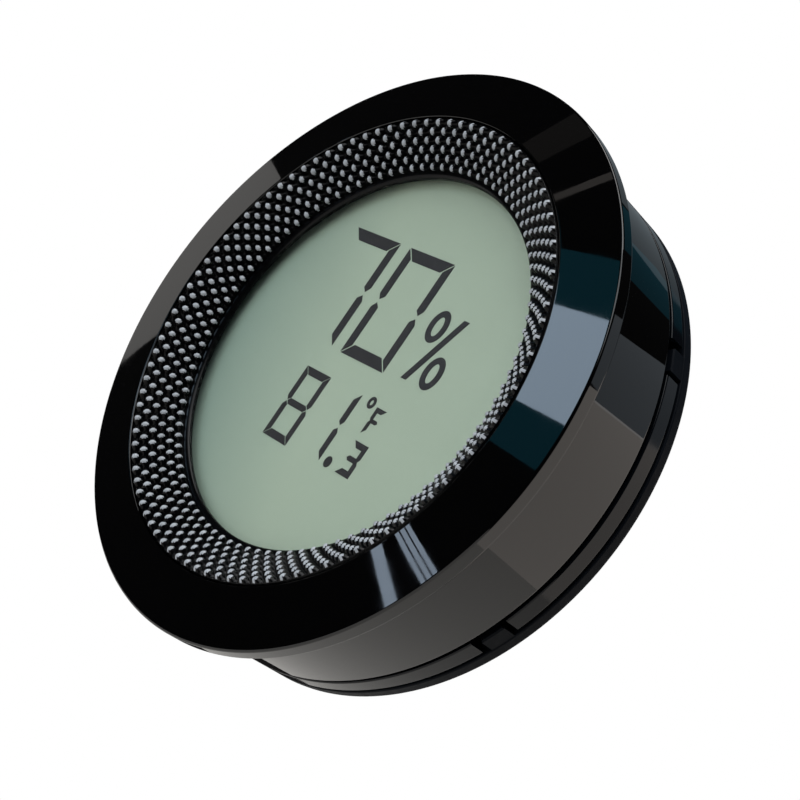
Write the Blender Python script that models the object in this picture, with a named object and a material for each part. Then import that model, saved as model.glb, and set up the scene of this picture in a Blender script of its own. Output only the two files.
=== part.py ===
"""Round digital hygrometer for a panel cut-out, from its bezel to its rear cover, with everything inside.

The dial faces -Y and its top points to +Z. The origin is on the dial's axis, in the plane where the
bezel's flange meets the panel. Pieces are drawn in the dial's own axes, x to the right, y up and z out
of the dial towards the reader, and an empty turns them all into the world. Sizes below are millimetres.
"""

import math

import bmesh
import bpy

MM = 0.001  # metres in one millimetre
SEGMENTS = 72  # sides of the large turned pieces
MEDIUM_SEGMENTS = 48  # sides of the cell, its holder and the button
SMALL_SEGMENTS = 20  # sides of screws and other small round shapes
HOLE_SEGMENTS = 12  # sides of the screws' holes

# Clearances
GAP = 0.3  # between pieces that touch
LAYER_GAP = 0.1  # between the display's layers, and under soldered parts
RUNNING_GAP = 0.25  # around a piece that moves or passes through a hole
PASS_THROUGH = 0.4  # how far a cutter runs past the face it opens

# Bezel and barrel
BEZEL_RADIUS = 22.5
FLANGE_WIDTH = 1.3  # how far the bezel stands out past the barrel
RIM_THICKNESS = 1.25
CREST_RISE = 0.65  # how far the bezel's face climbs from its rim to the knurled ring
FACE_WIDTH = 4.2  # from the rim inwards to the knurled ring's pocket
EDGE_BREAK = 0.15
BEZEL_SPIGOT = 0.6  # how far the bezel reaches into the barrel
SEAT_WALL = 1.1  # the bezel's thickness beside the window
BARREL_WALL = 1.2
BARREL_CLEARANCE = 0.15  # round the barrel's front edge, in the groove of the flange's rear face

# Knurled ring
KNURL_WIDTH = 3.3
KNURL_DROP = 2.45  # from the crest down to the ring's inner edge
KNURL_LIP = 0.3  # the ring's thickness at its inner edge
KNURL_LAND = 1.3  # the flat that holds the window down
KNURL_SIDE = 1.3  # the ring's thickness at its outer edge

# Window and display
WINDOW_OVERLAP = 1.5  # the window's edge under the knurled ring
WINDOW_THICKNESS = 0.4
POLARISER_THICKNESS = 0.2
GLASS_THICKNESS = 0.5
GLASS_MARGIN = 0.4  # the glass reaches this far past the polariser
CONTACT_LEDGE = 2.7  # the strip of front glass that the rear glass leaves bare
LEDGE_TO_REFLECTOR = 0.5
GLASS_CLEARANCE = 0.2  # round the glass, in its holder
HOLDER_TO_BARREL = 0.4
HOLDER_FLOOR = 0.85
STRIP_LENGTH = 10.0
STRIP_WIDTH = 1.4
STRIP_INSET = 1.0  # from the glass's edge to the strip

# Circuit board
BOARD_THICKNESS = 0.7
BOARD_TO_BARREL = 0.8
BOARD_SCREW_RADIUS = 0.5
BOARD_SCREW_INSET = 1.6  # from the display holder's edge to the screw's axis
BOARD_SCREW_REACH = 1.5  # past the board
SCREW_HEAD_RADIUS = 1.1
SCREW_HEAD_HEIGHT = 0.55
SCREW_HEAD_BEVEL = (0.17, 0.22)  # across and down the edge of the head's top
SCREW_SLOT_WIDTH = 0.35
BOARD_SCREW_ANGLES = (0, 120, 240)
CASE_SCREW_ANGLES = (60, 180, 300)

# Cell, its contacts and its holder
CELL_RADIUS = 10.0
CELL_HEIGHT = 3.2
CELL_CAN_STEP = 0.5  # the can's rim stands this far out past the cap
CONTACT_THICKNESS = 0.2
CONTACT_WIDTH = 3.0
CONTACT_SPRING = 0.25  # how far the negative leaf bows up to the cell
CONTACT_REACH = 7.0  # from the cell's axis to the negative leaf's end
CONTACT_FOOT = 1.5  # the positive leaf's foot, past the cell's holder
CELL_CLEARANCE = 0.35  # round the cell, in its holder and in the door
HOLDER_RING_WALL = 1.0
HOLDER_RING_HEIGHT = 1.9
CELL_TO_BARREL = 5.6  # from the cell's edge to the barrel's inner wall at the bottom

# Case ring and rear cover
BAND_HEIGHT = 1.45
BAND_WALL = 1.1
RING_FLANGE = 0.8
RING_FLANGE_WIDTH = 3.0
SPIGOT_HEIGHT = 0.7
SPIGOT_WALL = 0.8
CASE_SCREW_INSET = 1.6
BOSS_RADIUS = 1.8
CASE_SCREW_LENGTH = 2.1
COVER_THICKNESS = 1.1
TAB_COUNT = 6
TAB_WIDTH = 1.8
TAB_SHORTFALL = 0.45  # from the tab's end to the band's front edge
NOTCH_WIDTH = 2.8

# Battery door
DOOR_OVER_CELL = 1.2  # the door's radius past the cell's
DOOR_LUG_REACH = 1.2
DOOR_LUG_THICKNESS = 0.55
DOOR_LUG_ANGLE = 30.0
DOOR_THINNING = 0.05  # how much thinner the door's plate is than the cover's
LUG_SETBACK = 0.02  # from the end of the door's skirt to the lugs
DOOR_TWIST = 50.0  # degrees from locked to free
COIN_SLOT = (9.0, 1.4, 0.55)  # length, width and depth
STOP_ANGLE = 3.5
STOP_GAP_ANGLE = 2.0
GATE_GAP_ANGLE = 1.2

# Unit button and its switch
BUTTON_RADIUS = 2.0
BUTTON_FLANGE = 0.7
BUTTON_FLANGE_THICKNESS = 0.6
BUTTON_RECESS = 0.2
BUTTON_TRAVEL = 0.3
SWITCH_OVERTRAVEL = 0.1
BUTTON_ANGLE = 143.0
SWITCH_SIDE = 4.5
SWITCH_HEIGHT = 1.3
SWITCH_FLOOR = 0.2
PLUNGER_RADIUS = 0.95
PLUNGER_OUT = 0.6  # how far the plunger stands out of the switch

# Vent slots over the humidity sensor
VENT_COUNT = 5
VENT_WIDTH = 1.3
VENT_PITCH = 2.6
VENT_FROM_DOOR = 1.6
VENT_FROM_BARREL = 3.0

# Parts soldered to the board: length, width and height, or length and radius, or radius and height
SENSOR_SIZE = (7.0, 4.5, 1.0)
CRYSTAL_SIZE = (5.0, 0.7)
CRYSTAL_TO_SENSOR = 0.9
THERMISTOR_RADIUS = 0.8
BLOB_SIZE = (2.8, 0.9)
BLOB_ANGLE = 31.5
BLOB_INSET = 4.7  # from the board's edge to the blob's centre
CHIP_SIZE = (2.0, 1.25, 0.6)

# Where the small parts stand, from the middle of the humidity sensor
THERMISTOR_OFFSET = (6.6, -0.25)
CHIP_OFFSETS = {
    "bias_resistor": (-6.6, 0.55),
    "drive_capacitor": (-6.6, -2.05),
    "sensor_capacitor": (6.4, -3.25),
}

# Radii that follow from the sizes above
BARREL_RADIUS = BEZEL_RADIUS - FLANGE_WIDTH
BARREL_BORE = BARREL_RADIUS - BARREL_WALL
SPIGOT_RADIUS = BARREL_BORE - GAP
POCKET_RADIUS = BEZEL_RADIUS - FACE_WIDTH
KNURL_RADIUS = POCKET_RADIUS - GAP
KNURL_BORE = KNURL_RADIUS - KNURL_WIDTH
WINDOW_RADIUS = KNURL_BORE + WINDOW_OVERLAP
WINDOW_BORE = WINDOW_RADIUS + GAP
GLASS_RADIUS = WINDOW_RADIUS + GLASS_MARGIN
HOLDER_BORE = GLASS_RADIUS + GLASS_CLEARANCE
HOLDER_RADIUS = BARREL_BORE - HOLDER_TO_BARREL
BOARD_RADIUS = BARREL_BORE - BOARD_TO_BARREL
BOARD_SCREW_CIRCLE = HOLDER_RADIUS - BOARD_SCREW_INSET
CASE_SCREW_CIRCLE = BARREL_BORE - CASE_SCREW_INSET
DOOR_RADIUS = CELL_RADIUS + DOOR_OVER_CELL
LUG_RADIUS = DOOR_RADIUS + DOOR_LUG_REACH
CELL_CENTRE = (0.0, CELL_RADIUS + CELL_TO_BARREL - BARREL_BORE)
HOLDER_RING_BORE = CELL_RADIUS + CELL_CLEARANCE
BUTTON_CIRCLE = BARREL_BORE - RING_FLANGE_WIDTH - BUTTON_RADIUS - BUTTON_FLANGE - 2 * GAP
BUTTON_PLACE = (
    BUTTON_CIRCLE * math.cos(math.radians(BUTTON_ANGLE)),
    BUTTON_CIRCLE * math.sin(math.radians(BUTTON_ANGLE)),
)

# Heights along the dial's axis, from the flange's rear face, positive towards the reader
CREST = RIM_THICKNESS + CREST_RISE
KNURL_INNER = CREST - KNURL_DROP
KNURL_UNDER = KNURL_INNER - KNURL_LIP
WINDOW_FRONT = KNURL_UNDER - LAYER_GAP
WINDOW_REAR = WINDOW_FRONT - WINDOW_THICKNESS
BEZEL_UNDER = WINDOW_REAR - LAYER_GAP / 2
FRONT_POLARISER = WINDOW_REAR - LAYER_GAP
FRONT_GLASS = FRONT_POLARISER - POLARISER_THICKNESS - LAYER_GAP
REAR_GLASS = FRONT_GLASS - GLASS_THICKNESS - LAYER_GAP
REFLECTOR = REAR_GLASS - GLASS_THICKNESS - LAYER_GAP
HOLDER_FRONT = BEZEL_UNDER - GAP
HOLDER_SHELF = REFLECTOR - POLARISER_THICKNESS - GAP
HOLDER_REAR = HOLDER_SHELF - HOLDER_FLOOR
BOARD_FRONT = HOLDER_REAR - GAP
BOARD_REAR = BOARD_FRONT - BOARD_THICKNESS
SOLDER = BOARD_REAR - LAYER_GAP  # where soldered parts stand
CELL_FRONT = SOLDER - CONTACT_THICKNESS - CONTACT_SPRING - LAYER_GAP
CELL_REAR = CELL_FRONT - CELL_HEIGHT
DOOR_INNER = CELL_REAR - GAP
COVER_INNER = DOOR_INNER + DOOR_THINNING
REAR_FACE = COVER_INNER - COVER_THICKNESS
BAND_REAR = COVER_INNER + GAP
BAND_FRONT = BAND_REAR + BAND_HEIGHT
BARREL_REAR = BAND_FRONT + GAP
RING_FLANGE_REAR = BAND_FRONT - RING_FLANGE
LUG_FRONT = COVER_INNER + GAP + DOOR_LUG_THICKNESS
SWITCH_REAR = SOLDER - SWITCH_HEIGHT
PLUNGER_REAR = SWITCH_REAR - PLUNGER_OUT
BUTTON_FRONT = PLUNGER_REAR - GAP
BUTTON_REAR = REAR_FACE + BUTTON_RECESS

VENT_LOW = CELL_CENTRE[1] + DOOR_RADIUS + GAP + VENT_FROM_DOOR
VENT_HIGH = BARREL_BORE - VENT_FROM_BARREL
SENSOR_PLACE = (0.0, (VENT_LOW + VENT_HIGH) / 2)
CRYSTAL_PLACE = (0.0, SENSOR_PLACE[1] - SENSOR_SIZE[1] / 2 - CRYSTAL_TO_SENSOR - CRYSTAL_SIZE[1])
THERMISTOR_PLACE = (THERMISTOR_OFFSET[0], SENSOR_PLACE[1] + THERMISTOR_OFFSET[1])
BLOB_PLACE = (
    (BOARD_RADIUS - BLOB_INSET) * math.cos(math.radians(BLOB_ANGLE)),
    (BOARD_RADIUS - BLOB_INSET) * math.sin(math.radians(BLOB_ANGLE)),
)


def clear_scene():
    """Empties the scene of whatever was in it."""
    for thing in list(bpy.data.objects):
        bpy.data.objects.remove(thing, do_unlink=True)


def finish(name, colour, roughness=0.4, metallic=0.0, transmission=0.0):
    """A plain surface of one colour, roughness and metallic value."""
    material = bpy.data.materials.new(name)
    material.use_nodes = True
    shader = material.node_tree.nodes["Principled BSDF"]
    shader.inputs["Base Color"].default_value = (*colour, 1.0)
    shader.inputs["Roughness"].default_value = roughness
    shader.inputs["Metallic"].default_value = metallic
    shader.inputs["Transmission Weight"].default_value = transmission
    material.diffuse_color = (*colour, 1.0)
    return material


def circle(radius, centre=(0.0, 0.0), count=SMALL_SEGMENTS):
    """Points round a circle."""
    turns = [2 * math.pi * i / count for i in range(count)]
    return [(centre[0] + radius * math.cos(a), centre[1] + radius * math.sin(a)) for a in turns]


def arc(radius, start, end, count):
    """Points along an arc about the origin, from one angle in degrees to another."""
    angles = [math.radians(start + (end - start) * i / (count - 1)) for i in range(count)]
    return [(radius * math.cos(a), radius * math.sin(a)) for a in angles]


def sector(inner, outer, middle, spread, count=5):
    """A piece of a ring between two radii, spread degrees wide about a middle angle."""
    low, high = middle - spread / 2, middle + spread / 2
    return arc(outer, low, high, count) + arc(inner, high, low, count)


def rectangle(width, height, centre=(0.0, 0.0)):
    """The four corners of a rectangle."""
    x, y = centre
    across, up = width / 2, height / 2
    return [(x - across, y - up), (x + across, y - up), (x + across, y + up), (x - across, y + up)]


def stadium(width, low, high, x, count=6):
    """An upright slot with round ends, between two heights."""
    radius = width / 2
    top = [(x + px, high - radius + py) for px, py in arc(radius, 0, 180, count)]
    bottom = [(x + px, low + radius + py) for px, py in arc(radius, 180, 360, count)]
    return top + bottom


def flatted_disc(radius, flat, count=28):
    """A disc with straight top and bottom edges at plus and minus flat."""
    corner = math.degrees(math.asin(flat / radius))
    return arc(radius, -corner, corner, count) + arc(radius, 180 - corner, 180 + corner, count)


def shifted(outline, centre):
    """The same outline moved to a centre."""
    return [(x + centre[0], y + centre[1]) for x, y in outline]


def around(radius, angles):
    """Places on a circle about the dial's axis, at angles in degrees."""
    return [(radius * math.cos(math.radians(a)), radius * math.sin(math.radians(a))) for a in angles]


class Workshop:
    """Makes pieces under the empty that turns the dial's axes into the world."""

    def __init__(self):
        """Sets up the dial's axes, with z out of the dial along the world's -Y."""
        self.axes = bpy.data.objects.new("dial_axes", None)
        self.axes.rotation_euler = (math.pi / 2, 0, 0)
        bpy.context.scene.collection.objects.link(self.axes)

    def place(self, name, shape, origin, material, sharp=40):
        """Turns a shape into a named object with its origin at a place on its own axis."""
        bmesh.ops.recalc_face_normals(shape, faces=shape.faces)
        mesh = bpy.data.meshes.new(name)
        shape.to_mesh(mesh)
        shape.free()
        mesh.shade_smooth()
        mesh.set_sharp_from_angle(angle=math.radians(sharp))
        if material:
            mesh.materials.append(material)
        piece = bpy.data.objects.new(name, mesh)
        piece.parent = self.axes
        piece.location = [c * MM for c in origin]
        bpy.context.scene.collection.objects.link(piece)
        return piece

    def turned(self, name, profile, material, origin=(0, 0, 0), segments=SEGMENTS):
        """A piece turned about the z axis through its origin, from (radius, height) points in order."""
        shape = bmesh.new()
        rings = []
        for radius, height in profile:
            z = (height - origin[2]) * MM
            count = segments if radius else 1
            points = circle(radius * MM, count=count)
            rings.append([shape.verts.new((x, y, z)) for x, y in points])
        for low, high in zip(rings, rings[1:] + rings[:1]):
            if len(low) == len(high) == 1:
                continue
            for i in range(segments):
                j = (i + 1) % segments
                corners = (low[i % len(low)], low[j % len(low)], high[j % len(high)], high[i % len(high)])
                shape.faces.new(list(dict.fromkeys(corners)))
        return self.place(name, shape, origin, material)

    def prism(self, name, outlines, low, high, material=None, origin=(0, 0, 0)):
        """Each outline carried straight from one height to the other."""
        shape = bmesh.new()
        for outline in outlines:
            base = [
                shape.verts.new(((x - origin[0]) * MM, (y - origin[1]) * MM, (low - origin[2]) * MM))
                for x, y in outline
            ]
            face = shape.faces.new(base)
            top = bmesh.ops.extrude_face_region(shape, geom=[face])["geom"]
            verts = [v for v in top if isinstance(v, bmesh.types.BMVert)]
            bmesh.ops.translate(shape, vec=(0, 0, (high - low) * MM), verts=verts)
        return self.place(name, shape, origin, material)

    def shaped(self, piece, operation, *others):
        """Cuts other shapes from a piece, or joins them to it, and hides them."""
        for other in others:
            modifier = piece.modifiers.new(other.name, "BOOLEAN")
            modifier.operation = operation
            modifier.solver = "EXACT"
            modifier.object = other
            other.hide_render = True
            other.hide_set(True)
            other.display_type = "WIRE"
        return piece

    def cut(self, piece, *cutters):
        """Takes the cutters' shapes out of a piece."""
        return self.shaped(piece, "DIFFERENCE", *cutters)

    def join(self, piece, *others):
        """Makes the other shapes one body with a piece."""
        return self.shaped(piece, "UNION", *others)


def make_bezel(shop, gloss_black):
    """The bezel's face and flange, the knurled ring's pocket, the window's seat and a spigot."""
    rim, pocket, bore = BEZEL_RADIUS, POCKET_RADIUS, WINDOW_BORE
    return shop.turned(
        "bezel",
        [
            (SPIGOT_RADIUS, GAP),
            (BARREL_RADIUS + BARREL_CLEARANCE, GAP),
            (BARREL_RADIUS + BARREL_CLEARANCE, 0.0),
            (rim - EDGE_BREAK, 0.0),
            (rim, EDGE_BREAK),
            (rim, RIM_THICKNESS - EDGE_BREAK),
            (rim - EDGE_BREAK, RIM_THICKNESS),
            (pocket + EDGE_BREAK, CREST),
            (pocket, CREST - EDGE_BREAK),
            (pocket, CREST - KNURL_SIDE - GAP),
            (bore, KNURL_UNDER - LAYER_GAP / 2),
            (bore, BEZEL_UNDER),
            (bore + SEAT_WALL, BEZEL_UNDER),
            (SPIGOT_RADIUS, -BEZEL_SPIGOT),
        ],
        gloss_black,
    )


def make_barrel(shop, gloss_black):
    """The barrel behind the bezel, with three bosses inside it for the case screws."""
    barrel = shop.turned(
        "barrel",
        [
            (BARREL_BORE, 0.0),
            (BARREL_BORE, BARREL_REAR),
            (BARREL_RADIUS - EDGE_BREAK, BARREL_REAR),
            (BARREL_RADIUS, BARREL_REAR + EDGE_BREAK),
            (BARREL_RADIUS, 0.0),
        ],
        gloss_black,
    )
    centres = around(CASE_SCREW_CIRCLE, CASE_SCREW_ANGLES)
    boss_front = BOARD_FRONT - GAP
    bosses = shop.prism(
        "boss_shapes", [circle(BOSS_RADIUS, c) for c in centres], BARREL_REAR + LAYER_GAP, boss_front
    )
    hole = BOARD_SCREW_RADIUS + RUNNING_GAP
    holes = shop.prism(
        "boss_holes",
        [circle(hole, c, HOLE_SEGMENTS) for c in centres],
        BARREL_REAR - PASS_THROUGH,
        boss_front - GAP,
    )
    shop.join(barrel, bosses)
    return shop.cut(barrel, holes)


def make_knurled_ring(shop, knurl_black):
    """The sloping ring that carries the diamond knurl, with the flat that holds the window."""
    land = KNURL_BORE + KNURL_LAND
    return shop.turned(
        "knurled_ring",
        [
            (KNURL_BORE, KNURL_UNDER),
            (land, KNURL_UNDER),
            (KNURL_RADIUS, CREST - KNURL_SIDE),
            (KNURL_RADIUS, CREST - EDGE_BREAK),
            (KNURL_RADIUS - EDGE_BREAK, CREST),
            (KNURL_BORE + EDGE_BREAK, KNURL_INNER),
            (KNURL_BORE, KNURL_INNER - EDGE_BREAK),
        ],
        knurl_black,
    )


def disc(shop, name, radius, front, thickness, material, segments=SEGMENTS):
    """A flat round layer with its front face at a height."""
    rear = front - thickness
    return shop.turned(
        name, [(0, rear), (radius, rear), (radius, front), (0, front)], material, segments=segments
    )


def make_display(shop, finishes):
    """The window, the display's four layers, its holder and the two rubber contact strips."""
    disc(shop, "window", WINDOW_RADIUS, WINDOW_FRONT, WINDOW_THICKNESS, finishes["clear"])
    disc(
        shop,
        "display_front_polariser",
        WINDOW_RADIUS,
        FRONT_POLARISER,
        POLARISER_THICKNESS,
        finishes["polariser"],
    )
    disc(shop, "display_front_glass", GLASS_RADIUS, FRONT_GLASS, GLASS_THICKNESS, finishes["glass"])
    flat = GLASS_RADIUS - CONTACT_LEDGE
    shop.prism(
        "display_rear_glass",
        [flatted_disc(GLASS_RADIUS, flat)],
        REAR_GLASS - GLASS_THICKNESS,
        REAR_GLASS,
        finishes["glass"],
    )
    shop.prism(
        "display_reflector",
        [flatted_disc(WINDOW_RADIUS, flat - LEDGE_TO_REFLECTOR)],
        REFLECTOR - POLARISER_THICKNESS,
        REFLECTOR,
        finishes["reflector"],
    )
    holder = shop.turned(
        "display_holder",
        [
            (0, HOLDER_REAR),
            (HOLDER_RADIUS, HOLDER_REAR),
            (HOLDER_RADIUS, HOLDER_FRONT),
            (HOLDER_BORE, HOLDER_FRONT),
            (HOLDER_BORE, HOLDER_SHELF),
            (0, HOLDER_SHELF),
        ],
        finishes["white"],
    )
    strip_y = GLASS_RADIUS - STRIP_INSET - STRIP_WIDTH / 2
    slots = [
        rectangle(STRIP_LENGTH + 2 * GAP, STRIP_WIDTH + 2 * GAP, (0, side * strip_y)) for side in (-1, 1)
    ]
    slot_cutter = shop.prism(
        "strip_slots", slots, HOLDER_REAR - PASS_THROUGH, HOLDER_SHELF + PASS_THROUGH
    )
    hole = BOARD_SCREW_RADIUS + RUNNING_GAP
    hole_cutter = shop.prism(
        "holder_screw_holes",
        [circle(hole, c, HOLE_SEGMENTS) for c in around(BOARD_SCREW_CIRCLE, BOARD_SCREW_ANGLES)],
        HOLDER_REAR - PASS_THROUGH,
        HOLDER_REAR + BOARD_SCREW_REACH,
    )
    shop.cut(holder, slot_cutter, hole_cutter)
    for name, side in (("upper_contact_strip", 1), ("lower_contact_strip", -1)):
        shop.prism(
            name,
            [rectangle(STRIP_LENGTH, STRIP_WIDTH, (0, side * strip_y))],
            BOARD_FRONT + GAP,
            FRONT_GLASS - GLASS_THICKNESS - GAP,
            finishes["rubber"],
        )


def make_screws(shop, name, circle_radius, angles, seat, length, steel):
    """A screw at each angle, its slotted head standing on a seat and its shank pointing to the dial."""
    across, down = SCREW_HEAD_BEVEL
    head = seat - LAYER_GAP
    for number, centre in enumerate(around(circle_radius, angles), 1):
        screw = shop.turned(
            f"{name}_{number}",
            [
                (0, head - SCREW_HEAD_HEIGHT),
                (SCREW_HEAD_RADIUS - across, head - SCREW_HEAD_HEIGHT),
                (SCREW_HEAD_RADIUS, head - SCREW_HEAD_HEIGHT + down),
                (SCREW_HEAD_RADIUS, head),
                (BOARD_SCREW_RADIUS, head),
                (BOARD_SCREW_RADIUS, head + length - BOARD_SCREW_RADIUS),
                (0, head + length),
            ],
            steel,
            origin=(*centre, head),
            segments=SMALL_SEGMENTS,
        )
        slot = shop.prism(
            f"{name}_{number}_slot",
            [rectangle(3 * SCREW_HEAD_RADIUS, SCREW_SLOT_WIDTH, centre)],
            head - SCREW_HEAD_HEIGHT - PASS_THROUGH,
            head - SCREW_HEAD_HEIGHT / 2,
        )
        shop.cut(screw, slot)


def make_board(shop, finishes):
    """The round board, notched for the case bosses, and the parts soldered to its rear."""
    board = disc(shop, "main_board", BOARD_RADIUS, BOARD_FRONT, BOARD_THICKNESS, finishes["board"])
    notches = [
        circle(BOSS_RADIUS + GAP, c) for c in around(CASE_SCREW_CIRCLE, CASE_SCREW_ANGLES)
    ]
    hole = BOARD_SCREW_RADIUS + RUNNING_GAP / 2
    holes = [circle(hole, c, HOLE_SEGMENTS) for c in around(BOARD_SCREW_CIRCLE, BOARD_SCREW_ANGLES)]
    low, high = BOARD_REAR - PASS_THROUGH, BOARD_FRONT + PASS_THROUGH
    shop.cut(
        board,
        shop.prism("board_notches", notches, low, high),
        shop.prism("board_screw_holes", holes, low, high),
    )
    screw_length = BOARD_THICKNESS + BOARD_SCREW_REACH
    make_screws(
        shop,
        "board_screw",
        BOARD_SCREW_CIRCLE,
        BOARD_SCREW_ANGLES,
        BOARD_REAR,
        screw_length,
        finishes["steel"],
    )
    length, width, height = SENSOR_SIZE
    shop.prism(
        "humidity_sensor",
        [rectangle(length, width, SENSOR_PLACE)],
        SOLDER - height,
        SOLDER,
        finishes["ceramic"],
        origin=(*SENSOR_PLACE, SOLDER),
    )
    radius, height = BLOB_SIZE
    steps = [math.radians(a) for a in (0, 25, 50, 70)]
    dome = [(radius * math.cos(a), SOLDER - height * math.sin(a)) for a in steps]
    shop.turned(
        "chip_blob",
        [(0, SOLDER - height), *dome[::-1], (0, SOLDER)],
        finishes["epoxy"],
        origin=(*BLOB_PLACE, SOLDER),
        segments=MEDIUM_SEGMENTS,
    )
    make_crystal(shop, finishes["steel"])
    bead = [
        (THERMISTOR_RADIUS * math.sin(math.radians(a)), -THERMISTOR_RADIUS * math.cos(math.radians(a)))
        for a in range(0, 181, 30)
    ]
    centre = SOLDER - THERMISTOR_RADIUS
    profile = [(r if 0 < i < len(bead) - 1 else 0, centre + z) for i, (r, z) in enumerate(bead)]
    shop.turned(
        "temperature_sensor",
        profile,
        finishes["epoxy"],
        origin=(*THERMISTOR_PLACE, centre),
        segments=SMALL_SEGMENTS,
    )
    length, width, height = CHIP_SIZE
    for name, offset in CHIP_OFFSETS.items():
        outline = shifted(rectangle(length, width, offset), SENSOR_PLACE)
        shop.prism(name, [outline], SOLDER - height, SOLDER, finishes["ceramic"])


def make_crystal(shop, steel):
    """The clock crystal's can, lying on the board with its axis across the dial."""
    length, radius = CRYSTAL_SIZE
    crystal = shop.turned(
        "clock_crystal",
        [(0, 0), (radius, 0), (radius, length - EDGE_BREAK), (radius - EDGE_BREAK, length), (0, length)],
        steel,
        segments=SMALL_SEGMENTS,
    )
    x, y = CRYSTAL_PLACE
    crystal.rotation_euler = (0, math.pi / 2, 0)
    crystal.location = ((x - length / 2) * MM, y * MM, (SOLDER - radius) * MM)
    return crystal


def make_battery(shop, finishes):
    """The cell, the ring that holds it, the bowed negative leaf and the upright positive leaf."""
    x, y = CELL_CENTRE
    cap = CELL_RADIUS - CELL_CAN_STEP
    step = CELL_FRONT - CELL_CAN_STEP
    shop.turned(
        "coin_cell",
        [
            (0, CELL_REAR),
            (CELL_RADIUS - EDGE_BREAK, CELL_REAR),
            (CELL_RADIUS, CELL_REAR + EDGE_BREAK),
            (CELL_RADIUS, step),
            (cap, step),
            (cap - EDGE_BREAK, CELL_FRONT),
            (0, CELL_FRONT),
        ],
        finishes["nickel"],
        origin=(x, y, CELL_REAR),
        segments=MEDIUM_SEGMENTS,
    )
    outer = HOLDER_RING_BORE + HOLDER_RING_WALL
    ring_front = SOLDER - GAP
    ring_rear = ring_front - HOLDER_RING_HEIGHT
    ring = shop.turned(
        "cell_holder",
        [
            (HOLDER_RING_BORE, ring_rear),
            (outer, ring_rear),
            (outer, ring_front),
            (HOLDER_RING_BORE, ring_front),
        ],
        finishes["white"],
        origin=(x, y, ring_front),
        segments=MEDIUM_SEGMENTS,
    )
    slot = shop.prism(
        "cell_holder_slot",
        [rectangle(3 * HOLDER_RING_WALL, CONTACT_WIDTH + 2 * GAP, (x + HOLDER_RING_BORE, y))],
        ring_rear - PASS_THROUGH,
        ring_front + PASS_THROUGH,
    )
    shop.cut(ring, slot)
    leaf = CONTACT_THICKNESS
    foot = x + outer + CONTACT_FOOT
    upright = x + CELL_RADIUS + RUNNING_GAP
    profile = [
        (upright, ring_rear),
        (upright + leaf, ring_rear),
        (upright + leaf, SOLDER - leaf),
        (foot, SOLDER - leaf),
        (foot, SOLDER),
        (upright, SOLDER),
    ]
    make_leaf(shop, "positive_contact", profile, y, finishes["nickel"])
    reach = CONTACT_REACH
    bow = CONTACT_SPRING
    front = [(x - reach, 0), (x - reach / 2, 0), (x, -bow), (x + reach / 2, 0), (x + reach, 0)]
    profile = [(px, SOLDER + pz) for px, pz in front]
    profile += [(px, SOLDER + pz - leaf) for px, pz in front[::-1]]
    make_leaf(shop, "negative_contact", profile, y, finishes["nickel"])


def make_leaf(shop, name, profile, y, nickel):
    """A strip bent to a profile of (x, height) points, with its width along y."""
    shape = bmesh.new()
    sides = []
    for side in (-0.5, 0.5):
        offset = (y + side * CONTACT_WIDTH) * MM
        sides.append([shape.verts.new((px * MM, offset, pz * MM)) for px, pz in profile])
    for i in range(len(profile)):
        j = (i + 1) % len(profile)
        shape.faces.new((sides[0][i], sides[0][j], sides[1][j], sides[1][i]))
    for side in sides:
        shape.faces.new(side)
    return shop.place(name, shape, (0, 0, 0), nickel)


def make_case_ring(shop, gloss_black):
    """The band behind the barrel, notched for the cover's tabs, with its spigot and screwed flange."""
    inner = BARREL_BORE - RING_FLANGE_WIDTH
    spigot = BARREL_BORE - GAP
    band_bore = BARREL_RADIUS - BAND_WALL
    ring = shop.turned(
        "case_ring",
        [
            (inner, RING_FLANGE_REAR),
            (band_bore, RING_FLANGE_REAR),
            (band_bore, BAND_REAR),
            (BARREL_RADIUS - EDGE_BREAK, BAND_REAR),
            (BARREL_RADIUS, BAND_REAR + EDGE_BREAK),
            (BARREL_RADIUS, BAND_FRONT - EDGE_BREAK),
            (BARREL_RADIUS - EDGE_BREAK, BAND_FRONT),
            (spigot, BAND_FRONT),
            (spigot, BAND_FRONT + SPIGOT_HEIGHT),
            (spigot - SPIGOT_WALL, BAND_FRONT + SPIGOT_HEIGHT),
            (spigot - SPIGOT_WALL, BAND_FRONT),
            (inner, BAND_FRONT),
        ],
        gloss_black,
    )
    notch_spread = math.degrees(NOTCH_WIDTH / BARREL_RADIUS)
    notch_bore = band_bore - LAYER_GAP
    notches = shop.prism(
        "tab_notches",
        [sector(notch_bore, BARREL_RADIUS + GAP, a, notch_spread) for a in tab_angles()],
        BAND_REAR - PASS_THROUGH,
        BAND_FRONT + PASS_THROUGH,
    )
    centres = around(CASE_SCREW_CIRCLE, CASE_SCREW_ANGLES)
    reliefs = shop.prism(
        "spigot_reliefs",
        [circle(BOSS_RADIUS + GAP, c) for c in centres],
        BAND_FRONT,
        BAND_FRONT + SPIGOT_HEIGHT + PASS_THROUGH,
    )
    holes = shop.prism(
        "case_ring_holes",
        [circle(BOARD_SCREW_RADIUS + RUNNING_GAP / 2, c, HOLE_SEGMENTS) for c in centres],
        RING_FLANGE_REAR - PASS_THROUGH,
        BAND_FRONT + PASS_THROUGH,
    )
    return shop.cut(ring, notches, reliefs, holes)


def tab_angles():
    """The angles of the cover's tabs, with none at the very top or side."""
    return [(i + 0.5) * 360 / TAB_COUNT for i in range(TAB_COUNT)]


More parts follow.
